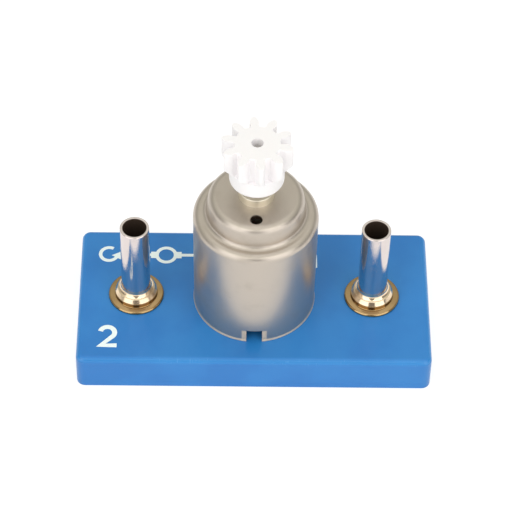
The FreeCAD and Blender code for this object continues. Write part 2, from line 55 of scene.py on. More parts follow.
class Signal:
    """A socket of a node tree.  Arithmetic on signals adds their own Math nodes."""

    def __init__(self, tree, socket=None):
        self.tree = tree
        self.socket = socket

    def node(self, kind, settings=None, inputs=None, output=0):
        """Adds a node: its settings first, then the values or signals of its sockets."""
        made = self.tree.nodes.new(kind)
        for name, value in (settings or {}).items():
            if name == "stops":
                ramp = made.color_ramp.elements
                for stop, (position, shade) in enumerate(value):
                    element = ramp[stop] if stop < len(ramp) else ramp.new(position)
                    element.position = position
                    element.color = shade
            else:
                setattr(made, name, value)
        for name, value in (inputs or {}).items():
            if isinstance(value, Signal):
                self.tree.links.new(value.socket, made.inputs[name])
            else:
                made.inputs[name].default_value = value
        return Signal(self.tree, made.outputs[output]) if made.outputs else None

    def also(self, output):
        """Another output of the node that this signal comes from."""
        return Signal(self.tree, self.socket.node.outputs[output])

    def maths(self, operation, *values):
        """One Math node on the given signals or numbers."""
        return self.node("ShaderNodeMath", {"operation": operation}, dict(enumerate(values)))

    def __add__(self, other):
        return self.maths("ADD", self, other)

    def __sub__(self, other):
        return self.maths("SUBTRACT", self, other)

    def __rsub__(self, other):
        return self.maths("SUBTRACT", other, self)

    def __mul__(self, other):
        return self.maths("MULTIPLY", self, other)

    def __truediv__(self, other):
        return self.maths("DIVIDE", self, other)

    def __abs__(self):
        return self.maths("ABSOLUTE", self)

    __radd__ = __add__
    __rmul__ = __mul__


def new_finish(name):
    """A new material and its first signal: the place on the piece, in millimetres."""
    material = bpy.data.materials.new(name)
    material.use_nodes = True
    material.node_tree.nodes.clear()
    place = Signal(material.node_tree).node("ShaderNodeTexCoord", output="Object")
    return material, stretch(place, 1 / MM, 1 / MM, 1 / MM)


def stretch(place, x, y, z):
    """The place, scaled along each axis."""
    return place.node("ShaderNodeVectorMath", {"operation": "MULTIPLY"}, {0: place, 1: (x, y, z)})


def parts(place, axis):
    """One coordinate of a place; also() gives the other two."""
    return place.node("ShaderNodeSeparateXYZ", {}, {"Vector": place}, axis)


def cloud(place, size, detail=3.0):
    """Soft random patches about size millimetres across, from 0 to 1."""
    return place.node("ShaderNodeTexNoise", {}, {"Vector": place, "Scale": 1 / size, "Detail": detail})


def fade(signal, low, high):
    """A smooth step from 0 at low to 1 at high."""
    return signal.node("ShaderNodeMapRange", {"interpolation_type": "SMOOTHSTEP"},
                       {"Value": signal, "From Min": low, "From Max": high})


def within_one(signal):
    """The signal, eased and held between 0 and 1."""
    return fade(signal, 0.0, 1.0)


def blend(amount, first, second):
    """The first colour where amount is 0 and the second where it is 1."""
    first_socket, second_socket, colour_output = 6, 7, 2
    return amount.node("ShaderNodeMix", {"data_type": "RGBA"},
                       {0: amount, first_socket: first, second_socket: second}, colour_output)


def colour(red, green, blue):
    """A display colour, each part from 0 to 255, as the renderer's own light values."""
    def light(part):
        share = part / 255
        return share / 12.92 if share < 0.04045 else ((share + 0.055) / 1.055) ** 2.4

    return (light(red), light(green), light(blue), 1.0)


def surface(place, relief, depth, inputs):
    """Ends a finish: its shader, with a relief from 0 to 1 that stands depth millimetres high."""
    bump = place.node("ShaderNodeBump", {}, {"Height": relief, "Distance": depth * MM})
    shader = place.node("ShaderNodeBsdfPrincipled", {}, {"Normal": bump, **inputs})
    place.node("ShaderNodeOutputMaterial", {}, {"Surface": shader})


def dress(material, *nodes):
    """Gives CAD nodes a finish in place of their plain one."""
    for node in nodes:
        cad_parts[node].data.materials.clear()
        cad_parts[node].data.materials.append(material)


def scuffs(place, size, along=(1.0, 9.0, 1.0)):
    """Thin hairlines about size millimetres apart, squeezed along an axis, in a few patches."""
    patch_size = 6 * size
    lines = fade(cloud(stretch(place, *along), size, detail=2.0), low=0.64, high=0.72)
    patches = fade(cloud(place, patch_size), low=0.45, high=0.65)
    return lines * patches


block_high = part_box("base_block")[1]
block_blue = colour(46, 130, 204)
# Lighter blue: a painted highlight along the top edge band, and the colour of scuffs.
block_blue_lit_and_worn = colour(78, 152, 214)
block_blue_deep = colour(40, 122, 198)
block_roughness = 0.26
block_refraction = 1.44
mottle_size = 9.0
mould_grain_size = 0.16
mould_grain_depth = 0.006
edge_band_width = 1.1
edge_band_start = 0.2
edge_band_end = 1.4
wiping_scuff_size = 1.2
sliding_scuff_size = 1.6
across_the_block = (8.0, 1.0, 1.0)

blue_abs, place = new_finish("blue_abs")
across = parts(place, "X")
from_end = block_high.x / MM - abs(across)
from_side = block_high.y / MM - abs(across.also("Y"))
from_top = block_high.z / MM - across.also("Z")
near_edge = (1 - fade(from_end, 0.0, edge_band_width)) + (1 - fade(from_side, 0.0, edge_band_width))
# The top edge band: its roughness is lower where handling polished it, and its colour is painted
# lighter as a highlight.
edge_polish_and_highlight = near_edge * (1 - fade(from_top, edge_band_start, edge_band_end))
mottle = cloud(place, mottle_size)
grain = cloud(place, mould_grain_size, detail=2.0)
hairlines = scuffs(place, wiping_scuff_size) + scuffs(place, sliding_scuff_size, across_the_block)
tone = blend(fade(mottle, low=0.35, high=0.65), block_blue_deep, block_blue)
surface(place, grain + 0.6 * hairlines, mould_grain_depth, {
    "Base Color": blend(within_one(0.5 * edge_polish_and_highlight + 0.25 * hairlines), tone, block_blue_lit_and_worn),
    "Roughness": block_roughness + 0.10 * mottle - 0.08 * within_one(edge_polish_and_highlight) + 0.08 * hairlines,
    "IOR": block_refraction,
})
dress(blue_abs, "base_block")


# --------------------------------------------------------- printed marks
# Marks are screen printed on the block's top in white ink, a few hundredths
# of a millimetre thick: a brushed motor's circuit symbol with its direction
# of rotation at the back, and a plain figure at the front left.

ink_thickness = 0.03
ink_white = colour(243, 255, 255)
ink_rubbed_thin = colour(150, 196, 234)
ink_roughness = 0.42
ink_relief = 0.004
ink_grain_size = 0.10
ink_sheen_size = 0.6
pinhole_size = 0.35
rubbed_size = 4.0
line_width = 0.62


def arc(centre, radius, start, end, steps=40):
    """Points round an arc, in degrees from the X axis."""
    turns = [math.radians(start + (end - start) * i / steps) for i in range(steps + 1)]
    return [(centre[0] + radius * math.cos(t), centre[1] + radius * math.sin(t)) for t in turns]


def ring(centre, radius, start=0, steps=40):
    """Points round a whole circle, without the first again at the end."""
    return arc(centre, radius, start, start + 360, steps)[:-1]


def stroke(points, width, tip=()):
    """The outline of a printed line of one width that follows the points, with any tip."""
    longest_mitre = 2
    line = [Vector(point) for point in points]
    sides = ([], [])
    for i, point in enumerate(line):
        before = (point - line[i - 1]).normalized() if i else None
        after = (line[i + 1] - point).normalized() if i + 1 < len(line) else before
        before = before or after
        across_line = (before + after).orthogonal().normalized()
        mitre = min(1 / across_line.dot(after.orthogonal()), longest_mitre)
        sides[0].append(point + across_line * mitre * width / 2)
        sides[1].append(point - across_line * mitre * width / 2)
    return [tuple(point) for point in [*sides[0], *tip, *sides[1][::-1]]]


def placed(name, data):
    """A new object in the scene."""
    piece = bpy.data.objects.new(name, data)
    bpy.context.scene.collection.objects.link(piece)
    return piece


def printed(name, loops):
    """A thin printed area.  The first loop is its outline, and any other is a hole."""
    curve = bpy.data.curves.new(name, "CURVE")
    curve.dimensions = "2D"
    curve.fill_mode = "BOTH"
    curve.extrude = ink_thickness / 2 * MM
    for loop in loops:
        spline = curve.splines.new("POLY")
        spline.points.add(len(loop) - 1)
        spline.use_cyclic_u = True
        for knot, (x, y) in zip(spline.points, loop):
            knot.co = (x * MM, y * MM, 0.0, 1.0)
    drawn = bpy.data.objects.new(name, curve)
    mesh = bpy.data.meshes.new_from_object(drawn)
    bpy.data.objects.remove(drawn)
    return placed(name, mesh)


def ink(name, shapes):
    """One mark made of printed areas, lying on the block's top."""
    mark, *rest = [printed(name, loops) for loops in shapes]
    if rest:
        with bpy.context.temp_override(active_object=mark, selected_editable_objects=[mark, *rest]):
            bpy.ops.object.join()
    mark.data.transform(Matrix.Translation((0, 0, block_high.z + ink_thickness / 2 * MM)))
    mark.data.materials.clear()
    mark.data.materials.append(white_ink)
    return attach(mark, "base")


white_ink, place = new_finish("white_ink")
pinholes = fade(cloud(place, pinhole_size), low=0.60, high=0.75)
rubbed = fade(cloud(place, rubbed_size), low=0.45, high=0.70)
surface(place, cloud(place, ink_grain_size, detail=2.0), ink_relief, {
    "Base Color": blend(0.25 * (pinholes * rubbed), ink_white, ink_rubbed_thin),
    "Roughness": ink_roughness + 0.15 * cloud(place, ink_sheen_size),
})

circle_centre = (-15.5, 9.0)
circle_radius = 1.95
holder_length = 0.75
holder_angle = 22.0
left_lead_inset = 2.5
left_lead_gap = 0.5
right_lead_x = 10.8
right_lead_end = 6.4
turn_centre = (-25.6, 9.1)
turn_radius = 1.5
turn_start = 60.0
turn_end = 330.0
head_length = 1.5
head_width = 1.9

circle_x, lead_y = circle_centre
left_holder_x = circle_x - circle_radius - holder_length
right_holder_x = circle_x + circle_radius + holder_length
left_lead_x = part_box("terminal_post_left")[0].x / MM + left_lead_inset
left_lead_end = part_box("flange_washer_left")[1].y / MM + left_lead_gap
left_lead = stroke([(left_holder_x, lead_y), (left_lead_x, lead_y), (left_lead_x, left_lead_end)],
                   line_width)
right_lead = stroke([(right_holder_x, lead_y), (right_lead_x, lead_y), (right_lead_x, right_lead_end)],
                    line_width)
upper = arc(circle_centre, circle_radius, holder_angle, 180 - holder_angle)
lower = arc(circle_centre, circle_radius, 180 + holder_angle, 360 - holder_angle)
left_side = [(left_holder_x, upper[-1][1]), *left_lead[::-1], (left_holder_x, lower[0][1])]
right_side = [(right_holder_x, lower[-1][1]), *right_lead[::-1], (right_holder_x, upper[0][1])]
symbol = [*upper, *left_side, *lower, *right_side]
window = ring(circle_centre, circle_radius - line_width)

sweep = arc(turn_centre, turn_radius, turn_start, turn_end)
tip_turn = math.radians(turn_end)
outward = Vector((math.cos(tip_turn), math.sin(tip_turn)))
onward = Vector((-math.sin(tip_turn), math.cos(tip_turn)))
tip_middle = Vector(sweep[-1])
head = [tip_middle - outward * head_width / 2, tip_middle + onward * head_length,
        tip_middle + outward * head_width / 2]
ink("printed_motor_symbol", [[symbol, window], [stroke(sweep, line_width, head)]])

figure_left = -26.9
figure_bottom = -12.0
figure_width = 3.35
figure_height = 4.9
figure_stroke = 0.86
figure_heel = figure_left + 0.75 * figure_stroke
bowl_radius = (figure_width - figure_stroke) / 2
bowl_centre = (figure_left + figure_width / 2, figure_bottom + figure_height - figure_width / 2)
bowl_start = 165
bowl_end = -38
figure_foot = figure_bottom + figure_stroke / 2
two = [*arc(bowl_centre, bowl_radius, bowl_start, bowl_end),
       (figure_heel, figure_foot), (figure_left + figure_width, figure_foot)]
ink("printed_number", [[stroke(two, figure_stroke)]])


# ---------------------------------------------------------- tube sockets
# Each socket is a drawn brass tube, bright nickel plated, riveted over under
# the block.  A plated collar flares out from it on to a stepped flange, which
# was turned from brass on a lathe and has dulled a little in use.

crisp_angle = math.radians(40)


def smooth(piece, sharpest):
    """Smooth shading that leaves flat faces flat and edges over the sharpest angle crisp."""
    piece.data.shade_smooth()
    piece.data.set_sharp_from_angle(angle=sharpest)
    piece.modifiers.new("flat_faces_stay_flat", "WEIGHTED_NORMAL").keep_sharp = True


def rounded(corners, steps):
    """A closed outline through corners (radius, height, rounding), rounded by arcs."""
    outline = []
    for i, (radius, height, rounding) in enumerate(corners):
        here = Vector((radius, height))
        if not rounding:
            outline.append(here)
            continue
        to_last = (Vector(corners[i - 1][:2]) - here).normalized()
        to_next = (Vector(corners[(i + 1) % len(corners)][:2]) - here).normalized()
        half = to_last.angle(to_next) / 2
        middle = here + (to_last + to_next).normalized() * rounding / math.sin(half)
        start = here + to_last * rounding / math.tan(half) - middle
        end = here + to_next * rounding / math.tan(half) - middle
        turn = math.copysign(start.angle(end), start.cross(end))
        outline += [middle + Matrix.Rotation(turn * stop / steps, 2) @ start
                    for stop in range(steps + 1)]
    return outline


def turned(name, corners, axis_x, finish, steps=6, facets=96):
    """A piece turned about the upright axis at axis_x, from its half section."""
    outline = rounded(corners, steps)
    points = []
    for facet in range(facets):
        around = 2 * math.pi * facet / facets
        points += [((axis_x + spot.x * math.cos(around)) * MM, spot.x * math.sin(around) * MM,
                    spot.y * MM) for spot in outline]
    count = len(outline)
    faces = []
    for facet in range(facets):
        here = facet * count
        there = (facet + 1) % facets * count
        faces += [(here + i, there + i, there + (i + 1) % count, here + (i + 1) % count)
                  for i in range(count)]
    mesh = bpy.data.meshes.new(name)
    mesh.from_pydata(points, [], faces)
    mesh.materials.append(finish)
    piece = placed(name, mesh)
    smooth(piece, crisp_angle)
    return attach(piece, "base")


def from_axis(place, x):
    """Distance in millimetres from an upright axis at x."""
    flat = place.node("ShaderNodeVectorMath", {"operation": "MULTIPLY_ADD"},
                      {0: place, 1: (1, 1, 0), 2: (-x, 0, 0)})
    return flat.node("ShaderNodeVectorMath", {"operation": "LENGTH"}, {0: flat}, "Value")


def rings_about(x, pitch):
    """Fine tool marks in rings about an upright axis at x, about pitch millimetres apart."""
    def marks(place):
        section = place.node("ShaderNodeCombineXYZ", {},
                             {"X": from_axis(place, x), "Y": parts(place, "Z"), "Z": 0.0})
        return cloud(section, pitch, detail=1.0)

    return marks


def inside_bore_at(x):
    """1 on the wall of a tube's bore about an upright axis at x."""
    def inside(place):
        return 1 - fade(from_axis(place, x), bore_radius + 0.02, bore_radius + 0.12)

    return inside


def metal(name, bright, dull, roughness, lines, line_depth, spots=0.3, dark=None):
    """A bare or plated metal.  Lines are its tool marks, and dark is where no light gets in, which is
    painted dark brown as shade.
    """
    tarnish_size = 2.6
    speck_size = 0.22
    material, place = new_finish(name)
    tarnish = fade(cloud(place, tarnish_size), low=0.42, high=0.70)
    specks = fade(cloud(place, speck_size, detail=2.0), low=0.66, high=0.74)
    marks = lines(place)
    tone = blend(spots * tarnish + 0.25 * specks, bright, dull)
    shine = roughness + 0.10 * tarnish + 0.12 * specks + 0.04 * marks
    in_painted_shade = dark(place) if dark else 0.0
    surface(place, marks + 0.5 * specks, line_depth, {
        "Base Color": blend(in_painted_shade, tone, painted_shade_brown) if dark else tone,
        "Metallic": 1 - 0.7 * in_painted_shade,
        "Roughness": shine + 0.4 * in_painted_shade,
    })
    return material


# Dark brown painted as shade where little light gets in: inside the socket bores and inside the can.
painted_shade_brown = colour(72, 58, 48)
post_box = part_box("terminal_post_right")
terminal_x = (post_box[0].x + post_box[1].x) / 2 / MM
sides = (("left", -terminal_x), ("right", terminal_x))
deburred = 0.1
tube_radius = 2.5
bore_radius = 2.0
rim_rounding = 0.14
rivet_radius = 3.5
rivet_rounding = 0.2
rivet_thickness = 0.5
flange_thickness = 0.6
flange_fall = 0.10
flange_rounding = 0.38
flange_foot_rounding = flange_rounding / 3
step_radius = 3.7
step_rounding = 0.07
collar_gap = 0.002
collar_foot_radius = 3.6
collar_crest_radius = 3.18
collar_crest_height = 0.62
collar_crest_rounding = 0.1
collar_waist_height = 0.91
collar_flare = 1.05

for side_name, axis_x in sides:
    polishing_rings = rings_about(axis_x, pitch=0.03)
    lathe_rings = rings_about(axis_x, pitch=0.09)
    # The wall of each socket's bore is painted dark brown as shade.
    nickel = metal("bright_nickel_" + side_name,
                   bright=colour(223, 212, 209), dull=colour(194, 182, 172), roughness=0.06,
                   lines=polishing_rings, line_depth=0.003, spots=0.15,
                   dark=inside_bore_at(axis_x))
    gilt = metal("gilt_nickel_" + side_name, bright=colour(244, 222, 192), dull=colour(190, 156, 116),
                 roughness=0.10, lines=lathe_rings, line_depth=0.0002, spots=0.25)
    brass = metal("turned_brass_" + side_name, bright=colour(176, 147, 105), dull=colour(140, 111, 74),
                  roughness=0.09, lines=lathe_rings, line_depth=0.0012)

    bottom, top = (corner.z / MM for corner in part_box("terminal_post_" + side_name))
    tube = turned("plated_tube_" + side_name, [
        (bore_radius, bottom, deburred),
        (rivet_radius, bottom, rivet_rounding),
        (rivet_radius, bottom + rivet_thickness, deburred),
        (tube_radius, bottom + rivet_thickness, deburred),
        (tube_radius, top, rim_rounding),
        (bore_radius, top, rim_rounding),
    ], axis_x, nickel)
    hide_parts("terminal_post_" + side_name)

    washer_low, washer_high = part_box("flange_washer_" + side_name)
    seat, step_top = washer_low.z / MM, washer_high.z / MM
    flange_radius = (washer_high.x - washer_low.x) / 2 / MM
    inner_radius = tube_radius + collar_gap
    flange = turned("brass_flange_" + side_name, [
        (inner_radius, seat, 0.0),
        (flange_radius, seat, flange_foot_rounding),
        (flange_radius, seat + flange_thickness - flange_fall, flange_rounding),
        (step_radius, seat + flange_thickness, deburred),
        (step_radius, step_top, step_rounding),
        (inner_radius, step_top, 0.0),
    ], axis_x, brass)
    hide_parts("flange_washer_" + side_name)

    foot, neck = (corner.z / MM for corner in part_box("flange_collar_" + side_name))
    neck_radius = inner_radius + collar_gap
    collar = turned("flared_collar_" + side_name, [
        (inner_radius, foot, 0.0),
        (collar_foot_radius, foot, 0.0),
        (collar_crest_radius, foot + collar_crest_height, collar_crest_rounding),
        (neck_radius, foot + collar_waist_height, collar_flare),
        (neck_radius, neck, 0.0),
        (inner_radius, neck, 0.0),
    ], axis_x, gilt, steps=10)
    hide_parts("flange_collar_" + side_name)


# -------------------------------------------------------- contact strips
# Under the block a stamped brass strip runs from each socket's rivet to the
# motor's brush terminal, which is soldered through it.

def rolled(place):
    """Rolling marks along a sheet."""
    return cloud(stretch(place, 0.08, 1, 1), 0.10, detail=1.0)


def lumpy(place):
    """The uneven skin of solder that has set."""
    return cloud(place, 0.8)


strip_brass = metal("strip_brass", bright=colour(222, 190, 120), dull=colour(150, 112, 60),
                    roughness=0.26, lines=rolled, line_depth=0.002)
solder = metal("solder", bright=colour(198, 198, 200), dull=colour(120, 118, 116),
               roughness=0.30, lines=lumpy, line_depth=0.03, spots=0.6)
for side_name, _ in sides:
    dress(strip_brass, "contact_strip_" + side_name)
    dress(solder, "solder_joint_" + side_name)


# ------------------------------------------------------------- motor can
# The can is deep drawn from sheet steel in several steps, then nickel plated
# to a satin finish.  Drawing leaves soft edges and faint upright lines; two
# notches in its rim and two holes in its face are punched afterwards.

can_low, can_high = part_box("motor_can")
can_seat = can_low.z / MM
boss_top = can_high.z / MM
sheet = 0.8
wall_inset = 0.2
wall_radius = can_high.x / MM - wall_inset
foot_height = 0.45
foot_neck = 0.16
foot_rounding = 0.2
shoulder_top = can_seat + 21.8
shoulder_rounding = 1.2
shoulder_inner_rounding = 0.3
crown_radius = wall_radius - 2.2
crown_taper = 0.4
crown_top = shoulder_top + 4.2
crown_root = 0.8
crown_rounding = 1.4
boss_radius = 3.0
boss_root = 0.05
boss_rounding = 0.12
mouth_radius = 1.6
pocket_radius = 2.2
notch_width = 2.7
notch_height = 2.8
notch_overcut = 1
notch_highlight_width = 0.8
hole_radius = 1.05
hole_place = 5.6
hole_turn = 3.1

can_grey = colour(195, 185, 174)
can_grey_dull = colour(178, 168, 154)
# Pale cream painted as a highlight on the strips beside the notches and round the foot.
can_highlight_cream = colour(226, 204, 178)
boss_cream = colour(246, 239, 221)
can_roughness = 0.31
can_shine = 0.88
can_relief = 0.003
draw_line_size = 0.14
draw_line_stretch = 0.05
can_grain_size = 0.09
stain_size = 5.0
rubbing_scuff_size = 1.5
down_the_can = (1.0, 1.0, 7.0)
soft_edge = 0.1


def raised(name, outline, bottom, top):
    """A solid with one plan outline, in millimetres, from bottom to top."""
    count = len(outline)
    points = [(x * MM, y * MM, z * MM) for z in (bottom, top) for x, y in outline]
    faces = [tuple(range(count))[::-1], tuple(range(count, 2 * count))]
    faces += [(i, (i + 1) % count, (i + 1) % count + count, i + count) for i in range(count)]
    mesh = bpy.data.meshes.new(name)
    mesh.from_pydata(points, [], faces)
    return placed(name, mesh)


def punch(piece, *tools):
    """Cuts solids out of a piece.  The solids are used up."""
    for tool in tools:
        cut = piece.modifiers.new("punch", "BOOLEAN")
        cut.object = tool
        cut.solver = "EXACT"
    shaped = piece.evaluated_get(bpy.context.evaluated_depsgraph_get())
    mesh = bpy.data.meshes.new_from_object(shaped)
    piece.modifiers.clear()
    for tool in tools:
        bpy.data.objects.remove(tool)
    piece.data = mesh
    smooth(piece, crisp_angle)


satin_nickel, place = new_finish("satin_nickel")
beside = parts(place, "X")
height = beside.also("Z")
out = from_axis(place, 0.0)
draw_lines = cloud(stretch(place, 1, 1, draw_line_stretch), draw_line_size, detail=2.0)
grain = cloud(place, can_grain_size, detail=2.0)
stains = fade(cloud(place, stain_size), low=0.45, high=0.70)
hairlines = scuffs(place, rubbing_scuff_size, down_the_can)

# Strips beside the notches and a band round the foot are painted pale cream as highlights, with less
# metal shine.
highlight_edge = notch_width / 2 + notch_highlight_width
highlight_blend = 0.15
notch_top = can_seat + notch_height
foot_top = can_seat + foot_height
beside_notch = 1 - fade(abs(beside), highlight_edge - highlight_blend, highlight_edge + highlight_blend)
below_notch_top = 1 - fade(height, notch_top - 2 * highlight_blend, notch_top + soft_edge)
foot_highlight = 1 - fade(height, foot_top - soft_edge / 2, foot_top + soft_edge)
painted_lip_highlight = within_one(beside_notch * below_notch_top + 0.7 * foot_highlight)

# Inside the crown, below its face and seen through the punched holes, the wall is painted dark brown as
# shade, with less metal shine.
shade_depth = 0.3
shade_start = crown_radius - 2.0
shade_end = crown_radius - 1.6
below_face = fade(crown_top - height, soft_edge, shade_depth)
within_crown = 1 - fade(out, shade_start, shade_end)
inside_face = 1 - fade(height, crown_top - shade_depth, crown_top - soft_edge)
painted_inner_shade = below_face * within_crown * inside_face
above_face = fade(height, crown_top, crown_top + soft_edge)
boss = (1 - fade(out, boss_radius + soft_edge / 5, boss_radius + soft_edge)) * above_face
face = fade(height, crown_top - soft_edge, crown_top) * (1 - boss)

worn = blend(within_one(0.4 * stains + 0.3 * hairlines), can_grey, can_grey_dull)
outside = blend(boss, blend(painted_lip_highlight, worn, can_highlight_cream), boss_cream)
surface(place, 0.5 * draw_lines + 0.5 * grain + 0.4 * hairlines, can_relief, {
    "Base Color": blend(painted_inner_shade, outside, painted_shade_brown),
    "Metallic": can_shine - 0.5 * painted_lip_highlight - 0.5 * painted_inner_shade,
    "Roughness": can_roughness + 0.07 * stains + 0.05 * draw_lines + 0.05 * hairlines + 0.12 * face,
})

can = turned("drawn_can", [
    (wall_radius - sheet, can_seat, deburred),
    (wall_radius, can_seat, deburred),
    (wall_radius - foot_neck, can_seat + foot_height, foot_rounding),
    (wall_radius, shoulder_top, shoulder_rounding),
    (crown_radius, shoulder_top, crown_root),
    (crown_radius - crown_taper, crown_top, crown_rounding),
    (boss_radius, crown_top, boss_root),
    (boss_radius, boss_top, boss_rounding),
    (mouth_radius, boss_top, deburred),
    (mouth_radius, boss_top - sheet, 0.0),
    (pocket_radius, boss_top - sheet, deburred),
    (pocket_radius, crown_top - sheet, deburred),
    (crown_radius - crown_taper - sheet, crown_top - sheet, crown_rounding - sheet),
    (crown_radius - sheet, shoulder_top - sheet, crown_root),
    (wall_radius - sheet, shoulder_top - sheet, shoulder_inner_rounding),
], 0.0, satin_nickel, steps=8, facets=192)

tools = []
for end in (-1, 1):
    hole = ring((0.0, end * hole_place), hole_radius, hole_turn, steps=48)
    tools.append(raised("hole_punch", hole, crown_top - 2 * sheet, crown_top + sheet))
    half_width = notch_width / 2
    notch_reach = end * (wall_radius + notch_overcut)
    notch = [(-half_width, 0), (half_width, 0), (half_width, notch_reach), (-half_width, notch_reach)]
    tools.append(raised("notch_punch", notch[::end], can_seat - notch_overcut, can_seat + notch_height))
punch(can, *tools)
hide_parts("motor_can")


# ------------------------------------- bearings, end cap and the magnets
# Sintered bronze bushes, soaked in oil, carry the shaft.  A black nylon cap
# closes the can's mouth; inside it two ground ferrite arcs are pressed
# apart by channels of blued spring sheet.

def porous(place):
    """The open pores of a sintered bush."""
    return fade(cloud(place, 0.10), low=0.35, high=0.65)


def moulded(name, body, pale, roughness, grain_size, inputs=None):
    """A moulded plastic: fine grain, slight flow marks and faint scuffs."""
    relief = 0.004
    flow_size = 4.0
    scuff_size = 1.1
    material, place = new_finish(name)
    flow = cloud(place, flow_size)
    marks = scuffs(place, scuff_size)
    surface(place, cloud(place, grain_size, detail=2.0) + 0.4 * marks, relief, {
        "Base Color": blend(0.6 * fade(flow, low=0.40, high=0.75) + 0.3 * marks, body, pale),
        "Roughness": roughness + 0.10 * flow + 0.06 * marks,
        **(inputs or {}),
    })
    return material


def pressed(name, body, pale, roughness, grain_size):
    """A pressed powder or fibre piece: an open, even grain with no shine."""
    relief = 0.02
    material, place = new_finish(name)
    grains = cloud(place, grain_size, detail=4.0)
    surface(place, grains, relief, {
        "Base Color": blend(fade(grains, low=0.35, high=0.70), body, pale),
        "Roughness": roughness + 0.15 * grains,
    })
    return material


sintered = metal("sintered_bronze", bright=colour(168, 132, 86), dull=colour(92, 66, 40),
                 roughness=0.42, lines=porous, line_depth=0.012, spots=0.7)
blued = metal("spring_sheet", bright=colour(132, 136, 148), dull=colour(84, 84, 96),
              roughness=0.28, lines=rolled, line_depth=0.002)
black_nylon = moulded("black_nylon", body=colour(22, 22, 24), pale=colour(52, 52, 54),
                      roughness=0.42, grain_size=0.15)
white_nylon = moulded("white_nylon", body=colour(228, 224, 214), pale=colour(240, 238, 232),
                      roughness=0.45, grain_size=0.15)
ferrite = pressed("ferrite", body=colour(44, 44, 48), pale=colour(74, 74, 80),
                  roughness=0.50, grain_size=0.12)
dress(sintered, "front_bearing", "rear_bearing")
dress(blued, "thrust_disc", "magnet_spring_front", "magnet_spring_back")
dress(black_nylon, "end_cap", "commutator_hub")
dress(white_nylon, "shaft_spacer")
dress(ferrite, "magnet_left", "magnet_right")


# --------------------------------------------------------------- brushes
# Phosphor bronze leaf springs, cut in one piece with the terminals, press
# two carbon blocks on the commutator.

spring_bronze = metal("spring_bronze", bright=colour(214, 168, 118), dull=colour(140, 98, 62),
                      roughness=0.22, lines=rolled, line_depth=0.002)
carbon = pressed("carbon", body=colour(30, 30, 32), pale=colour(62, 62, 66),
                 roughness=0.46, grain_size=0.06)
for side_name, _ in sides:
    dress(spring_bronze, "brush_arm_" + side_name)
    dress(carbon, "carbon_brush_" + side_name)


# ----------------------------------------------------------------- rotor
# A ground steel shaft carries the armature: stacked laminations between red
# fibre stars, three windings of enamelled wire, and the commutator, whose
# copper bars are bound by a fibre ring.

lamination_thickness = 0.5
lamination_seam = 0.06
wire_thickness = 0.25
winding_slope = 0.35


def sheets(place):
    """Edges of stacked laminations."""
    height = parts(place, "Z")
    from_seam = height.maths("PINGPONG", height, lamination_thickness / 2)
    return fade(from_seam, 0.0, lamination_seam)


def turns_of_wire(place):
    """Wire lying side by side, from 0 in the grooves to 1 on its crests."""
    along = parts(place, "Z") + winding_slope * from_axis(place, 0.0)
    return along.maths("PINGPONG", along, wire_thickness / 2) * (2 / wire_thickness)


ground_steel = metal("ground_steel", bright=colour(206, 204, 200), dull=colour(140, 138, 134),
                     roughness=0.16, lines=rings_about(0.0, pitch=0.07), line_depth=0.001)
lamination = metal("lamination_steel", bright=colour(122, 122, 126), dull=colour(78, 72, 68),
                   roughness=0.38, lines=sheets, line_depth=0.03)
copper_bar = metal("commutator_copper", bright=colour(232, 160, 120), dull=colour(150, 84, 54),
                   roughness=0.18, lines=rings_about(0.0, pitch=0.08), line_depth=0.003)
wire = metal("enamelled_wire", bright=colour(196, 104, 52), dull=colour(126, 54, 26),
             roughness=0.22, lines=turns_of_wire, line_depth=0.10)
red_fibre = pressed("red_fibre", body=colour(124, 44, 34), pale=colour(160, 70, 54),
                    roughness=0.55, grain_size=0.10)
dress(ground_steel, "motor_shaft")
dress(lamination, "armature_core")
dress(copper_bar, "commutator_segments")
dress(wire, "coil_1", "coil_2", "coil_3")
dress(red_fibre, "armature_insulators", "commutator_ring")


# ---------------------------------------------------------------- pinion
# The pinion is moulded in white acetal, which is slightly waxy and lets a
# little light into its teeth, and is pressed on the shaft.  Like any
# moulding it has no sharp edge but at its bore.

cad_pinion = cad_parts["drive_pinion"]
pinion_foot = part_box("drive_pinion")[0].z
bore_reach = 1.5
hub_reach = 4.2
hub_rounding = 0.7
tooth_rounding = 0.1
sharp_angle = math.radians(35)
flat_angle = math.radians(0.5)
weld_distance = 0.001
foot_tolerance = 0.01


def soften(shape, edges, radius, segments):
    """Rounds some edges of a shape."""
    bmesh.ops.bevel(shape, geom=edges, offset=radius * MM, segments=segments, profile=0.5,
                    affect="EDGES", clamp_overlap=True)


def beyond(edge, reach):
    """Whether an edge lies further than reach millimetres from the shaft's axis."""
    return all(spot.co.xy.length > reach * MM for spot in edge.verts)


def at_foot(edge):
    """Whether an edge lies in the pinion's lower face."""
    return all(spot.co.z < pinion_foot + foot_tolerance * MM for spot in edge.verts)


shape = bmesh.new()
shape.from_mesh(cad_pinion.data)
shape.transform(cad_pinion.matrix_world)
bmesh.ops.remove_doubles(shape, verts=shape.verts, dist=weld_distance * MM)
bmesh.ops.dissolve_limit(shape, angle_limit=flat_angle, verts=shape.verts, edges=shape.edges)
hub_rim = [edge for edge in shape.edges if at_foot(edge) and beyond(edge, hub_reach)]
soften(shape, hub_rim, hub_rounding, segments=6)
sharp_edges = [edge for edge in shape.edges
               if edge.calc_face_angle(0) > sharp_angle and beyond(edge, bore_reach)]
soften(shape, sharp_edges, tooth_rounding, segments=2)
pinion_mesh = bpy.data.meshes.new("moulded_pinion")
shape.to_mesh(pinion_mesh)
shape.free()

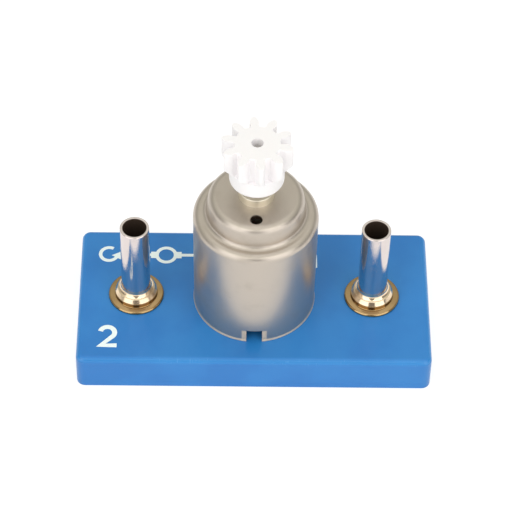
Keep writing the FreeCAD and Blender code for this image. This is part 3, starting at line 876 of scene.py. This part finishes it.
white_acetal = moulded("white_acetal", body=colour(251, 248, 250), pale=colour(249, 247, 249),
                       roughness=0.46, grain_size=0.20, inputs={
                           "Subsurface Weight": 0.08,
                           "Subsurface Radius": (1.0, 0.9, 0.85),
                           "Subsurface Scale": 1.2 * MM,
                       })
pinion_mesh.materials.append(white_acetal)
pinion = placed("moulded_pinion", pinion_mesh)
smooth(pinion, sharp_angle)
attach(pinion, "rotor")
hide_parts("drive_pinion")


# ---------------------------------------------------------------- studio
# The motor stands on a pale bench top between two large softboxes, one at
# the front left and one at the front right.  Round the bench runs a low white
# cove; above it the room is dim, paler behind and overhead, with a skylight.

softbox_turn = 40
softbox_rise = 30
softbox_distance = 1.2
softbox_width = 1.0
softbox_height = 1.25
softbox_radiance = 1.50
softbox_target = Vector((0, 0, 20 * MM))
bench_reach = 3.0
bench_grey = colour(232, 232, 232)
bench_shown = colour(158, 158, 158)
bench_lift = 0.77
plain_white = (1.0, 1.0, 1.0, 1.0)


def softbox(name, azimuth):
    """A flat lamp aimed at the motor's middle.  A radiance of 1 looks white."""
    turn, rise = math.radians(azimuth), math.radians(softbox_rise)
    towards = Vector((math.sin(turn) * math.cos(rise), -math.cos(turn) * math.cos(rise),
                      math.sin(rise)))
    lamp = bpy.data.lights.new(name, "AREA")
    lamp.shape = "RECTANGLE"
    lamp.size = softbox_width
    lamp.size_y = softbox_height
    lamp.energy = softbox_radiance * math.pi * softbox_width * softbox_height
    holder = placed(name, lamp)
    holder.location = softbox_target + towards * softbox_distance
    holder.rotation_euler = towards.to_track_quat("Z", "Y").to_euler()


def seen_directly(start):
    """1 for what the camera sees, straight or in metal or glass, and 0 for stray light."""
    rays = start.node("ShaderNodeLightPath", output="Is Camera Ray")
    shown = rays + rays.also("Is Glossy Ray") + rays.also("Is Transmission Ray")
    return rays.maths("MINIMUM", shown, 1.0)


softbox("left_softbox", -softbox_turn)
softbox("right_softbox", softbox_turn)

bench_top, place = new_finish("bench_top")
pale = place.node("ShaderNodeBsdfDiffuse", {}, {"Color": bench_grey})
half_pale = place.node("ShaderNodeBsdfDiffuse", {}, {"Color": bench_shown})
glow = place.node("ShaderNodeEmission", {}, {"Color": plain_white, "Strength": bench_lift})
lifted = place.node("ShaderNodeAddShader", {}, {0: half_pale, 1: glow})
bench = place.node("ShaderNodeMixShader", {}, {0: seen_directly(place), 1: pale, 2: lifted})
place.node("ShaderNodeOutputMaterial", {}, {"Surface": bench})

floor_mesh = bpy.data.meshes.new("floor")
floor_mesh.from_pydata([(-bench_reach, -bench_reach, 0), (bench_reach, -bench_reach, 0),
                        (bench_reach, bench_reach, 0), (-bench_reach, bench_reach, 0)],
                       [], [(0, 1, 2, 3)])
floor_mesh.materials.append(bench_top)
placed("floor", floor_mesh)

window_lean = 0.12
back_wall_shade = (0.50, 0.50, 0.46, 1.0)
back_wall_turn = 0.5
back_wall_low = 0.45
back_wall_top = 0.70
cove_height = 0.11
cove_softness = 0.02
room_shades = [
    (0.40, (0.23, 0.22, 0.21, 1.0)),
    (0.66, (0.65, 0.66, 0.59, 1.0)),
    (0.82, (0.83, 0.835, 0.76, 1.0)),
    (1.00, (1.20, 1.19, 1.15, 1.0)),
]
room = bpy.data.worlds.new("room")
room.use_nodes = True
room.node_tree.nodes.clear()
bpy.context.scene.world = room
heading = Signal(room.node_tree).node("ShaderNodeTexCoord", output="Generated")
rise = parts(heading, "Z")
back = rise.also("Y")
window_side = rise + window_lean * back
room_colour = heading.node("ShaderNodeValToRGB", {"stops": room_shades}, {"Fac": window_side})
at_back = fade(back, 0.0, back_wall_turn)
low_at_back = at_back * (1 - fade(window_side, back_wall_low, back_wall_top))
above_cove = fade(abs(rise), cove_height, cove_height + cove_softness)
room_light = heading.node("ShaderNodeBackground", {}, {
    "Color": blend(above_cove, plain_white, blend(low_at_back, room_colour, back_wall_shade)),
    "Strength": 1.0,
})
heading.node("ShaderNodeOutputWorld", {}, {"Surface": room_light})


# ---------------------------------------------------------------- camera
# The camera looks down on the front of the block through a long lens.

camera_azimuth = math.radians(-1.021)
camera_elevation = math.radians(49.131)
camera_roll = math.radians(1.352)
camera_distance = 434.069 * MM
camera_target = Vector((0.180 * MM, 0.0, 17.396 * MM))
focal_length = 178.16
sensor_width = 36.0
nearest_seen = 10 * MM

backward = Vector((math.sin(camera_azimuth) * math.cos(camera_elevation),
                   -math.cos(camera_azimuth) * math.cos(camera_elevation),
                   math.sin(camera_elevation)))
level = (-backward).cross(Vector((0, 0, 1))).normalized()
upright = level.cross(-backward)
to_right = level * math.cos(camera_roll) + upright * math.sin(camera_roll)
to_top = upright * math.cos(camera_roll) - level * math.sin(camera_roll)
stand = camera_target + backward * camera_distance
lens = bpy.data.cameras.new("camera")
lens.lens = focal_length
lens.sensor_width = sensor_width
lens.clip_start = nearest_seen
camera = placed("camera", lens)
camera.matrix_world = Matrix((
    (to_right.x, to_top.x, backward.x, stand.x),
    (to_right.y, to_top.y, backward.y, stand.y),
    (to_right.z, to_top.z, backward.z, stand.z),
    (0, 0, 0, 1),
))
bpy.context.scene.camera = camera
bpy.context.scene.view_settings.view_transform = "Standard"
